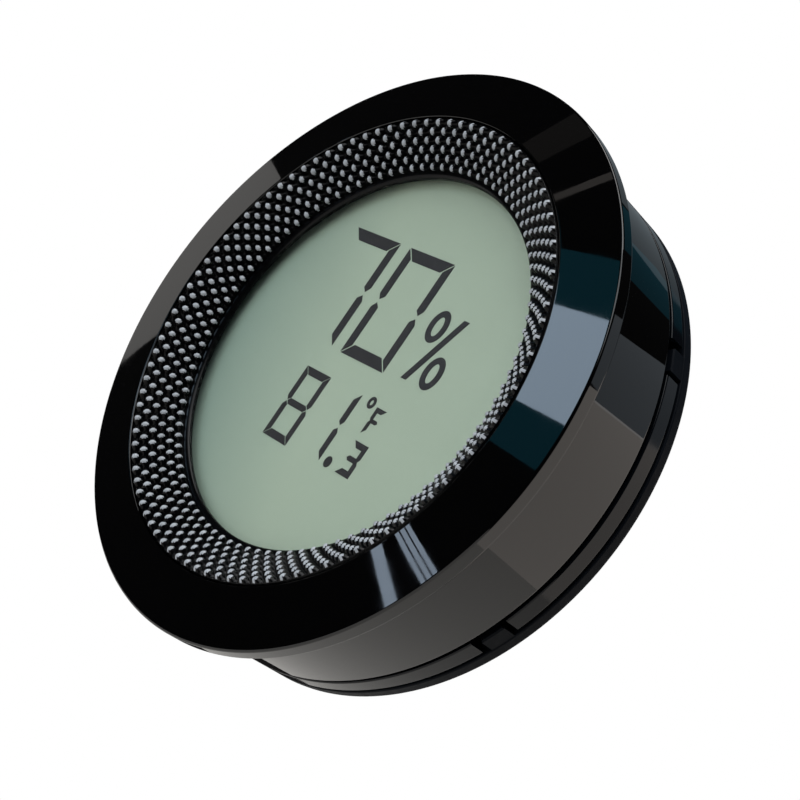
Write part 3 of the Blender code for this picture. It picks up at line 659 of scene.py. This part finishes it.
@dataclass
class KnurledRing:
    """The sloping ring with rows of staggered diamond points, and the smooth lip inside them."""

    outer: float = 18.2
    inner: float = 14.7
    crest: float = 1.9
    inner_height: float = -0.55
    side: float = 1.3
    edge: Point2 = (0.05, 0.06)  # across and down the break of the outer edge
    margin: float = 0.04  # from the outer edge to the first row, along the slope
    lip: float = 0.46  # from the last row to the inner edge, along the slope
    lip_step: Point2 = (0.02, 0.03)  # the share of the slope and the depth of the step to the lip
    lip_edge: tuple[Point2, ...] = ((0.1, 0.045), (0.03, -0.02), (0.0, -0.09))
    land: float = 1.3
    thickness: float = 0.3
    points_round: int = 96
    rows: int = 6
    point_height: float = 0.47
    sink: float = 0.12  # how far the valleys lie below the slope
    taper: float = 0.18  # the share of a row over which the outermost points fade
    roundness: float = 0.72
    tip: float = 0.67  # the nearness above which a point's faces take the painted highlight
    samples: int = 12
    sharp: float = 50.0

    @staticmethod
    def dome(turn: float, row: float) -> float:
        """How near a place is to a point of the knurl: 1 on its tip and 0 in the valleys.

        Args:
            turn: the place round the ring, counted in points.
            row: the place down the slope, counted in rows.

        Returns:
            The nearness.
        """
        first, second = turn + row / 2, turn - row / 2
        across = abs(first - round(first))
        along = abs(second - round(second))
        return math.cos(math.pi * across) * math.cos(math.pi * along)

    def point_rise(self, turn: float, row: float) -> float:
        """How high the knurl stands at a place.

        Args:
            turn: the place round the ring, counted in points.
            row: the place down the slope, counted in rows.

        Returns:
            The height above the slope.
        """
        ends = min(1.0, max(0.0, min(row + 0.5, self.rows - 0.5 - row) / self.taper))
        return self.point_height * ends * self.dome(turn, row) ** self.roundness

    def section(self) -> list[tuple[float, float, float | None]]:
        """The ring's section, as a closed loop.

        Returns:
            Radius and height of each place, and its row, or None where the ring is smooth.
        """
        down, width = self.crest - self.inner_height, self.outer - self.inner
        slope = math.hypot(down, width)
        start, end = self.margin / slope, 1 - self.lip / slope
        steps = self.rows * self.samples
        loop: list[tuple[float, float, float | None]] = [
            (self.outer, self.crest - self.side, None),
            (self.outer, self.crest - self.edge[1], None),
            (self.outer - self.edge[0], self.crest, None),
        ]
        for i in range(steps + 1):
            share = start + (end - start) * i / steps
            loop.append((self.outer - share * width, self.crest - share * down, i / self.samples - 0.5))
        last = end + self.lip_step[0]
        loop.append((self.outer - last * width, self.crest - last * down - self.lip_step[1], None))
        loop += [(self.inner + across, self.inner_height + up, None) for across, up in self.lip_edge]
        loop.append((self.inner, self.inner_height - self.thickness, None))
        loop.append((self.inner + self.land, self.inner_height - self.thickness, None))
        return loop

    def build(self) -> None:
        """Makes the ring as one closed mesh, with a painted highlight on its points' tips."""
        down, width = self.crest - self.inner_height, self.outer - self.inner
        slope = math.hypot(down, width)
        count = self.points_round * self.samples
        loop = self.section()
        shape = bmesh.new()
        rings = []
        for radius, height, row in loop:
            ring = []
            for i in range(count):
                rise = 0.0 if row is None else self.point_rise(i / self.samples, row) - self.sink
                angle = 2 * math.pi * i / count
                r = radius - down / slope * rise
                z = height + width / slope * rise
                ring.append(shape.verts.new(to_world(r * math.cos(angle), r * math.sin(angle), z)))
            rings.append(ring)
        bridge(shape, rings + rings[:1])
        made = finished("knurled_ring_moulding", shape, Surface.KNURL_BLACK, self.sharp)
        # The second material is a painted highlight: faces near each point's tip turn light grey in place of
        # the lamps' glint.
        made.data.materials.append(Surface.KNURL_TIP.value.material())
        for face in made.data.polygons:
            row = loop[face.index // count][2]
            turn = (face.index % count + 0.5) / self.samples
            if row is not None and self.dome(turn, row + 0.5 / self.samples) > self.tip:
                face.material_index = 1
        shown(made, CASE, "knurled_black_plastic", "knurled_ring")
        LOG.info("knurled ring: %d points in %d rows", self.points_round * self.rows, self.rows)


# ---- display


class Bar(Enum):
    """The bars of a seven-bar figure."""

    TOP = "top"
    UPPER_RIGHT = "upper_right"
    LOWER_RIGHT = "lower_right"
    BOTTOM = "bottom"
    LOWER_LEFT = "lower_left"
    UPPER_LEFT = "upper_left"
    MIDDLE = "middle"


FIGURE_BARS = {
    "0": set(Bar) - {Bar.MIDDLE},
    "1": {Bar.UPPER_RIGHT, Bar.LOWER_RIGHT},
    "3": set(Bar) - {Bar.UPPER_LEFT, Bar.LOWER_LEFT},
    "7": {Bar.TOP, Bar.UPPER_RIGHT, Bar.LOWER_RIGHT},
    "8": set(Bar),
    "F": {Bar.TOP, Bar.UPPER_LEFT, Bar.LOWER_LEFT, Bar.MIDDLE},
}


@dataclass
class SevenBarFigure:
    """One figure made of bars with slanted ends, in its own upright cell."""

    figure: str
    left: float
    right: float
    bottom: float
    top: float
    beam: float
    post: float
    gap: float = 0.07
    waist: float = 0.14

    def beam_outline(self, top: bool) -> Outline:
        """The top or bottom bar.

        Args:
            top: whether it is the top one.

        Returns:
            Its outline.
        """
        edge, inner = (self.top, self.top - self.beam) if top else (self.bottom, self.bottom + self.beam)
        points = [
            (self.left + self.gap, edge),
            (self.right - self.gap, edge),
            (self.right - self.gap - self.beam, inner),
            (self.left + self.gap + self.beam, inner),
        ]
        return points[::-1] if top else points

    def post_outline(self, right: bool, upper: bool) -> Outline:
        """One of the four upright bars.

        Args:
            right: whether it stands at the right.
            upper: whether it is an upper one.

        Returns:
            Its outline.
        """
        side, inward = (self.right, -1) if right else (self.left, 1)
        end, downward = (self.top, -1) if upper else (self.bottom, 1)
        middle = (self.top + self.bottom) / 2 - downward * self.waist
        outer, inner = side, side + inward * self.post
        return [
            (outer, end + downward * self.gap),
            (outer, middle - downward * self.post * 0.6),
            (outer + inward * self.post * 0.45, middle),
            (inner, middle - downward * self.post * 0.45),
            (inner, end + downward * (self.gap + self.post)),
        ]

    def middle_outline(self) -> Outline:
        """The middle bar, pointed at both ends.

        Returns:
            Its outline.
        """
        middle, half = (self.top + self.bottom) / 2, self.beam * 0.42
        left = self.left + self.post * 0.5 + self.gap
        right = self.right - self.post * 0.5 - self.gap
        return [
            (left, middle),
            (left + half, middle - half),
            (right - half, middle - half),
            (right, middle),
            (right - half, middle + half),
            (left + half, middle + half),
        ]

    def outlines(self) -> list[Outline]:
        """Every lit bar's outline.

        Returns:
            The outlines.
        """
        made = []
        for bar in sorted(FIGURE_BARS[self.figure], key=lambda one: one.value):
            if bar in (Bar.TOP, Bar.BOTTOM):
                made.append(self.beam_outline(bar is Bar.TOP))
            elif bar is Bar.MIDDLE:
                made.append(self.middle_outline())
            else:
                made.append(self.post_outline("right" in bar.value, "upper" in bar.value))
        return made


@dataclass
class Display:
    """The window, the film behind it and the figures that show on the film."""

    window_radius: float = 16.2
    window_front: float = -0.95
    window_rear: float = -1.35
    film_front: float = -1.45
    film_rear: float = -1.65
    figure_rise: float = 0.02
    figure_sink: float = 0.01
    ring_sides: int = 40
    segments: int = 160

    def figures(self) -> list[Outline]:
        """The outlines of every solid figure.

        Returns:
            The outlines.
        """
        cells = [
            SevenBarFigure("7", -8.72, -3.3, 0.15, 9.1, 0.92, 0.74),
            SevenBarFigure("0", -2.15, 3.02, 0.08, 9.1, 0.92, 0.74),
            SevenBarFigure("8", -4.28, -1.3, -7.62, -1.84, 0.6, 0.52, gap=0.04, waist=0.06),
            SevenBarFigure("1", -0.2, 2.58, -7.27, -1.87, 0.6, 0.54, gap=0.04, waist=0.12),
            SevenBarFigure("3", 4.58, 6.12, -7.34, -4.8, 0.47, 0.42, gap=0.0, waist=-0.03),
            SevenBarFigure("F", 4.55, 5.66, -4.2, -2.15, 0.37, 0.33, gap=0.0, waist=-0.03),
        ]
        outlines = [outline for cell in cells for outline in cell.outlines()]
        outlines.append([(4.78, 0.38), (5.36, 0.38), (7.56, 5.74), (6.98, 5.74)])
        outlines.append(ellipse((0.37, 0.43), (3.46, -7.02), 24))
        return outlines

    def rings(self) -> list[tuple[Point2, Point2, float]]:
        """The ring-shaped figures.

        Returns:
            Centre, half sizes and thickness of each.
        """
        return [
            ((5.08, 4.62), (0.9, 1.28), 0.52),
            ((7.26, 1.55), (0.9, 1.28), 0.52),
            ((3.82, -2.06), (0.4, 0.46), 0.26),
        ]

    def draw_figures(self) -> Piece:
        """The figures as one thin piece on the film.

        Returns:
            The piece.
        """
        shape = bmesh.new()
        low, high = self.film_front - self.figure_sink, self.film_front + self.figure_rise
        for outline in self.figures():
            base = [shape.verts.new(to_world(x, y, low)) for x, y in outline]
            top = [shape.verts.new(to_world(x, y, high)) for x, y in outline]
            shape.faces.new(base)
            shape.faces.new(top)
            bridge(shape, [base, top])
        for centre, half, thickness in self.rings():
            inner = (half[0] - thickness, half[1] - thickness)
            levels = [(half, low), (half, high), (inner, high), (inner, low)]
            loops = [
                [shape.verts.new(to_world(x, y, z)) for x, y in ellipse(size, centre, self.ring_sides)]
                for size, z in levels
            ]
            bridge(shape, loops + loops[:1])
        made = finished("display_figures", shape, Surface.FIGURE)
        return shown(made, CASE, "polariser_film")

    def build(self) -> None:
        """Makes the window, the film and the figures."""
        pane = [
            Corner(0.0, self.window_rear),
            Corner(self.window_radius, self.window_rear, 0.05),
            Corner(self.window_radius, self.window_front, 0.05),
            Corner(0.0, self.window_front),
        ]
        made = lathe("window_pane", pane, Surface.CLEAR, segments=self.segments)
        shown(made, CASE, "clear_acrylic", "window")
        film = [
            Corner(0.0, self.film_rear),
            Corner(self.window_radius, self.film_rear),
            Corner(self.window_radius, self.film_front),
            Corner(0.0, self.film_front),
        ]
        made = lathe("display_film", film, Surface.FILM, segments=self.segments)
        shown(made, CASE, "polariser_film", "display_front_polariser")
        self.draw_figures()
        LOG.info("display: window, film and figures")


# ---- rear


@dataclass
class Door:
    """The battery door: a disc with a skirt, two lugs and a coin slot."""

    centre: Point2 = (0.0, -4.4)
    radius: float = 11.2
    rear: float = -10.5
    inner: float = -9.45
    lug_front: float = -8.55
    skirt_bore: float = 10.35
    lug_radius: float = 12.4
    lug_spread: float = 30.0
    lug_rear: float = -9.1
    lug_setback: float = 0.02
    twist: float = 50.0
    dish: float = 0.12  # how far the door's middle lies below its rim
    rim: Point2 = (1.5, 1.38)  # how far in the rim's inner slope starts and ends
    slot: Point3 = (9.0, 1.4, 0.55)
    slot_flare: float = 0.52
    segments: int = 160

    def build(self) -> None:
        """Makes the door."""
        profile = [
            Corner(0.0, self.rear + self.dish),
            Corner(self.radius - self.rim[0], self.rear + self.dish, 0.06),
            Corner(self.radius - self.rim[1], self.rear, 0.05),
            Corner(self.radius, self.rear, 0.18),
            Corner(self.radius, self.lug_front),
            Corner(self.skirt_bore, self.lug_front),
            Corner(self.skirt_bore, self.inner),
            Corner(0.0, self.inner),
        ]
        finish = Surface.DOOR_BLACK
        made = lathe("battery_door_moulding", profile, finish, self.centre, self.segments)
        lugs = [
            moved(sector(self.radius - OVERLAP, self.lug_radius, angle, self.lug_spread), self.centre)
            for angle in (0, 180)
        ]
        lug_levels = [(self.lug_rear, 0.0), (self.lug_front - self.lug_setback, 0.0)]
        length, width, depth = self.slot
        half = (length - width) / 2
        ends = moved(arc(width / 2, -90, 90, 10), (half, 0)) + moved(arc(width / 2, 90, 270, 10), (-half, 0))
        slot_levels = [
            (self.rear - PAST_FACE, self.slot_flare),
            (self.rear + self.dish, 0.0),
            (self.rear + depth, 0.0),
        ]
        steps = [
            ("UNION", prism("lugs", lugs, lug_levels, finish)),
            ("DIFFERENCE", prism("coin_slot", [moved(ends, self.centre)], slot_levels, finish)),
        ]
        shown(worked(made, steps), "battery_door", "door_black_plastic", "battery_door")
        LOG.info("battery door: %.1f mm across", 2 * self.radius)


@dataclass
class Button:
    """The button that changes the units."""

    centre: Point2 = (-11.1, 8.36)
    radius: float = 2.0
    rear: float = -10.3
    flange_radius: float = 2.7
    flange_rear: float = -8.2
    front: float = -7.6
    dish: Point2 = (0.12, 0.05)  # in its middle and part of the way out

    def build(self) -> None:
        """Makes the button, dished for a fingertip."""
        profile = [
            Corner(0.0, self.rear + self.dish[0]),
            Corner(self.radius * 0.55, self.rear + self.dish[1]),
            Corner(self.radius, self.rear, 0.12),
            Corner(self.radius, self.flange_rear),
            Corner(self.flange_radius, self.flange_rear),
            Corner(self.flange_radius, self.front),
            Corner(0.0, self.front),
        ]
        made = lathe("unit_button_cap", profile, Surface.BUTTON_GREY, self.centre, 64)
        shown(made, "unit_button", "button_grey_plastic", "unit_button")
        LOG.info("unit button: %.1f mm across", 2 * self.radius)


@dataclass
class RearCase:
    """The notched band and the rear cover with its tabs, vents and openings."""

    radius: float = 21.2
    band_front: float = -7.65
    band_rear: float = -9.1
    band_wall: float = 1.1
    flange_bore: float = 17.0
    flange_rear: float = -8.45
    spigot: float = 19.7
    cover_inner: float = -9.4
    rear: float = -10.5
    tabs: int = 6
    tab_width: float = 1.8
    tab_front: float = -8.1
    notch_width: float = 2.8
    vents: int = 5
    vent_width: float = 1.3
    vent_pitch: float = 2.6
    vent_low: float = 8.7
    vent_high: float = 17.0
    spigot_wall: float = 0.8
    spigot_height: float = 0.7
    boss_circle: float = 18.4
    boss_radius: float = 2.1
    boss_depth: float = 1.0
    boss_angles: tuple[float, ...] = (60, 180, 300)
    notch_depth: float = 0.25
    chamfer: float = 0.14
    tab_setback: float = 0.06
    tab_break: Point2 = (0.1, 0.12)
    stop_gap: float = 2.0
    stop_spread: float = 3.5
    stop_inset: float = 0.6
    gate_gap: float = 1.2
    door_gap: float = 0.3
    button_gap: float = 0.25
    door: Door = field(default_factory=Door)
    button: Button = field(default_factory=Button)

    def tab_angles(self) -> list[float]:
        """The angles of the tabs."""
        return [(i + 0.5) * 360 / self.tabs for i in range(self.tabs)]

    def band(self) -> Piece:
        """The band behind the barrel.

        Returns:
            The piece.
        """
        wall = self.radius - self.band_wall
        profile = [
            Corner(self.flange_bore, self.flange_rear),
            Corner(wall, self.flange_rear),
            Corner(wall, self.band_rear),
            Corner(self.radius, self.band_rear, 0.12),
            Corner(self.radius, self.band_front, 0.12),
            Corner(self.spigot, self.band_front),
            Corner(self.spigot, self.band_front + self.spigot_height),
            Corner(self.spigot - self.spigot_wall, self.band_front + self.spigot_height),
            Corner(self.spigot - self.spigot_wall, self.band_front),
            Corner(self.flange_bore, self.band_front),
        ]
        made = lathe("case_ring_moulding", profile, Surface.BAND_BLACK)
        spread = math.degrees(self.notch_width / self.radius)
        notches = [sector(wall - 0.1, self.radius + OVERLAP, angle, spread) for angle in self.tab_angles()]
        notch_levels = [(self.band_rear - PAST_FACE, 0.0), (self.band_front + self.notch_depth, 0.0)]
        bosses = [
            circle(self.boss_radius, (self.boss_circle * math.cos(a), self.boss_circle * math.sin(a)))
            for a in map(math.radians, self.boss_angles)
        ]
        boss_levels = [(self.band_front, 0.0), (self.band_front + self.boss_depth, 0.0)]
        steps = [
            ("DIFFERENCE", prism("notches", notches, notch_levels, Surface.BAND_BLACK)),
            ("DIFFERENCE", prism("bosses", bosses, boss_levels, Surface.BAND_BLACK)),
        ]
        return shown(worked(made, steps), CASE, "gloss_black_plastic", "case_ring")

    def door_outline(self, growth: float = 0.0) -> Outline:
        """The edge of the door's opening, wider where the unlocked lugs pass.

        Args:
            growth: how far the edge is moved outwards.

        Returns:
            The outline.
        """
        door, gap = self.door, self.door_gap + growth
        half = door.lug_spread / 2 + self.gate_gap
        outline: Outline = []
        for gate in (-door.twist, 180 - door.twist):
            outline += arc(door.lug_radius + gap, gate - half, gate + half, 16)
            outline += arc(door.radius + gap, gate + half, gate + 180 - half, 60)
        return moved(outline, door.centre)

    def cover(self) -> Piece:
        """The rear cover.

        Returns:
            The piece.
        """
        profile = [
            Corner(0.0, self.rear),
            Corner(self.radius, self.rear, 0.38),
            Corner(self.radius, self.cover_inner, 0.12),
            Corner(0.0, self.cover_inner),
        ]
        finish = Surface.COVER_BLACK
        made = lathe("rear_cover_moulding", profile, finish)
        spread = math.degrees(self.tab_width / self.radius)
        tabs = [
            sector(self.radius - self.band_wall, self.radius - self.tab_setback, angle, spread)
            for angle in self.tab_angles()
        ]
        root = self.cover_inner - ROOT_DEPTH
        taper, rise = self.tab_break
        tab_levels = [(root, 0.0), (self.tab_front - rise, 0.0), (self.tab_front, -taper)]
        door = self.door
        stop = door.lug_spread / 2 + self.stop_gap + self.stop_spread / 2
        stops = [
            moved(
                sector(door.radius + self.stop_inset, door.lug_radius, angle, self.stop_spread, 3),
                door.centre,
            )
            for angle in (stop, 180 + stop, -door.twist - stop, 180 - door.twist - stop)
        ]
        stop_levels = [(root, 0.0), (door.lug_front, 0.0)]
        levels = [
            (self.rear - PAST_FACE, self.chamfer + PAST_FACE),
            (self.rear + self.chamfer, 0.0),
            (self.cover_inner + PAST_FACE, 0.0),
        ]
        edge = self.door_outline()
        opening = prism("opening", [edge], levels, finish, lambda _, growth: self.door_outline(growth))
        middle = (self.vents - 1) / 2
        slots = [
            stadium(self.vent_width, self.vent_low, self.vent_high, (i - middle) * self.vent_pitch)
            for i in range(self.vents)
        ]
        slots.append(circle(self.button.radius + self.button_gap, self.button.centre))
        steps = [
            ("UNION", prism("tabs", tabs, tab_levels, finish)),
            ("UNION", prism("stops", stops, stop_levels, finish)),
            ("DIFFERENCE", opening),
            ("DIFFERENCE", prism("slots", slots, levels, finish)),
        ]
        return shown(worked(made, steps), CASE, "cover_black_plastic", "rear_cover")

    def build(self) -> None:
        """Makes the band and the cover."""
        self.band()
        self.cover()
        LOG.info("rear case: %d tabs and %d vents", self.tabs, self.vents)


# ---- inside


@dataclass
class Inside:
    """The pieces inside the case, which keep their own shapes and take a finish each."""

    finishes: dict[Surface, tuple[str, ...]] = field(
        default_factory=lambda: {
            Surface.GLASS: ("display_front_glass", "display_rear_glass"),
            Surface.FILM: ("display_reflector",),
            Surface.WHITE: ("display_holder", "cell_holder", "switch_plunger"),
            Surface.RUBBER: ("upper_contact_strip", "lower_contact_strip"),
            Surface.BOARD: ("main_board",),
            Surface.CERAMIC: ("humidity_sensor", "bias_resistor", "drive_capacitor", "sensor_capacitor"),
            Surface.EPOXY: ("chip_blob", "temperature_sensor", "switch_body"),
            Surface.STEEL: ("clock_crystal",),
            Surface.NICKEL: ("coin_cell", "positive_contact", "negative_contact"),
        }
    )

    def build(self) -> None:
        """Gives every piece its finish."""
        chosen = {name: surface for surface, names in self.finishes.items() for name in names}
        for name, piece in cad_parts.items():
            surface = Surface.STEEL if "screw" in name else chosen.get(name)
            if surface is None:
                continue
            piece.data.materials.clear()
            piece.data.materials.append(surface.value.material())
            LOG.info("%s: %s", name, surface.value.name)


# ---- studio


@dataclass(frozen=True)
class SoftBox:
    """A flat light far off, placed by the direction it is seen in and how wide it looks.

    Its angles are in degrees. Its roll turns it clockwise as the dial sees it.
    """

    name: str
    azimuth: float
    elevation: float
    width: float
    height: float
    brightness: float
    tint: Point3 = (1.0, 1.0, 1.0)
    distance: float = 2.0
    mirrored: bool = True
    roll: float = 0.0

    def build(self) -> None:
        """Makes the light, which the camera doesn't see."""
        light = bpy.data.lights.new(self.name, "AREA")
        light.shape = "RECTANGLE"
        light.size = 2 * self.distance * math.tan(math.radians(self.width / 2))
        light.size_y = 2 * self.distance * math.tan(math.radians(self.height / 2))
        light.energy = self.brightness * math.pi * light.size * light.size_y
        light.color = self.tint
        lamp = bpy.data.objects.new(self.name, light)
        turn, lift = math.radians(self.azimuth), math.radians(self.elevation)
        away = Vector(
            (math.sin(turn) * math.cos(lift), -math.cos(turn) * math.cos(lift), math.sin(lift))
        )
        lamp.location = away * self.distance
        lamp.rotation_mode = "QUATERNION"
        upright = away.to_track_quat("Z", "Y")
        lamp.rotation_quaternion = upright @ Quaternion((0.0, 0.0, 1.0), math.radians(self.roll))
        lamp.visible_camera = False
        lamp.visible_glossy = self.mirrored
        bpy.context.scene.collection.objects.link(lamp)


@dataclass
class Studio:
    """The camera, the soft lights, the pale floor and the white surround."""

    camera_place: Point3 = (0.08331, -0.06685, -0.01149)
    camera_right: Point3 = (0.5914, 0.5837, 0.5564)
    camera_up: Point3 = (-0.3075, -0.4746, 0.8248)
    lens: float = 70.0
    floor_height: float = -0.3
    floor_radius: float = 0.8

    def lights(self) -> list[SoftBox]:
        """The soft lights.

        Returns:
            The lights.
        """
        cool = (0.66, 0.81, 1.0)
        teal = (0.08, 0.7, 1.0)
        warm = (1.0, 0.93, 0.87)
        return [
            SoftBox("key_window", -29, 13.9, 16, 8.6, 5.7, cool),
            SoftBox("key_window_rim", -29, 14, 24, 17, 0.34, teal, distance=2.1),
            SoftBox("left_card", -85.6, 4.7, 23.4, 19, 0.6, (1.0, 0.98, 0.95)),
            SoftBox("rear_card", 152, 2, 44, 47, 1.12, warm),
            SoftBox("side_card", 157, 32.9, 26, 15, 0.42, (0.8, 0.9, 1.0)),
            SoftBox("teal_card", -168, 46, 14, 9, 0.1, teal),
            SoftBox("high_rear_card", -146, 33, 30, 22, 0.2, (0.75, 0.9, 1.0)),
            SoftBox("strip_one", -31.1, -7.3, 5, 1.15, 5.4, cool, roll=-51.5),
            SoftBox("strip_two_low", -29.67, -5.35, 5, 0.44, 5.4, cool, roll=-27.2),
            SoftBox("strip_two_middle", -29.4, -4.83, 5, 0.44, 5.4, cool, roll=-27.2),
            SoftBox("strip_two_high", -29.13, -4.31, 5, 0.44, 5.4, cool, roll=-27.2),
            SoftBox("thin_strip", -40.3, 25.8, 6, 0.8, 0.42, warm, roll=58),
            SoftBox("faint_strip", -47.5, 27.6, 3.2, 5, 0.07, warm, roll=-28),
            SoftBox("overhead", -20, 72, 40, 26, 3.6),
            SoftBox("front_upper_card", 18, 48, 44, 30, 2.6, (0.93, 0.97, 1.0)),
            SoftBox("front_fill", -20, 10, 80, 60, 1.6, mirrored=False),
            SoftBox("top_fill", 0, 85, 70, 70, 1.6, mirrored=False),
            SoftBox("back_fill", 180, 20, 80, 60, 0.8, mirrored=False),
        ]

    def surround(self) -> None:
        """A surround that is white to the camera and all but dark in reflections."""
        world = bpy.data.worlds.new("surround")
        world.use_nodes = True
        tree = world.node_tree
        back = tree.nodes["Background"]
        path = tree.nodes.new("ShaderNodeLightPath")
        level = tree.nodes.new("ShaderNodeMapRange")
        level.inputs["To Min"].default_value = 0.012
        level.inputs["To Max"].default_value = 1.0
        tree.links.new(path.outputs["Is Camera Ray"], level.inputs["Value"])
        tree.links.new(level.outputs["Result"], back.inputs["Strength"])
        back.inputs["Color"].default_value = (1.0, 1.0, 1.0, 1.0)
        bpy.context.scene.world = world

    def floor(self) -> None:
        """The pale floor."""
        shape = bmesh.new()
        rim = [shape.verts.new((x, y, self.floor_height)) for x, y in circle(self.floor_radius, count=96)]
        shape.faces.new(rim)
        sheet = finished("floor", shape, Surface.FLOOR)

    def camera(self) -> None:
        """The camera, to the right of the dial, a little below it and tilted."""
        lens = bpy.data.cameras.new("camera")
        lens.lens = self.lens
        lens.sensor_width = 36.0
        lens.clip_start = 0.005
        eye = bpy.data.objects.new("camera", lens)
        right = Vector(self.camera_right).normalized()
        up = Vector(self.camera_up)
        up = (up - right * up.dot(right)).normalized()
        back = right.cross(up)
        turn = Matrix((right, up, back)).transposed()
        eye.matrix_world = Matrix.Translation(self.camera_place) @ turn.to_4x4()
        bpy.context.scene.collection.objects.link(eye)
        bpy.context.scene.camera = eye

    def build(self) -> None:
        """Sets the studio up."""
        self.surround()
        self.floor()
        for light in self.lights():
            light.build()
        self.camera()
        bpy.context.scene.view_settings.view_transform = "Standard"
        LOG.info("studio: camera, lights and floor")


def main() -> None:
    """Builds every sub-assembly and the studio."""
    logging.basicConfig(level=logging.INFO, format="%(message)s")
    for assembly in (Bezel(), KnurledRing(), Display(), RearCase(), Door(), Button(), Inside(), Studio()):
        assembly.build()
    bpy.context.view_layer.update()


if __name__ == "__main__":
    main()
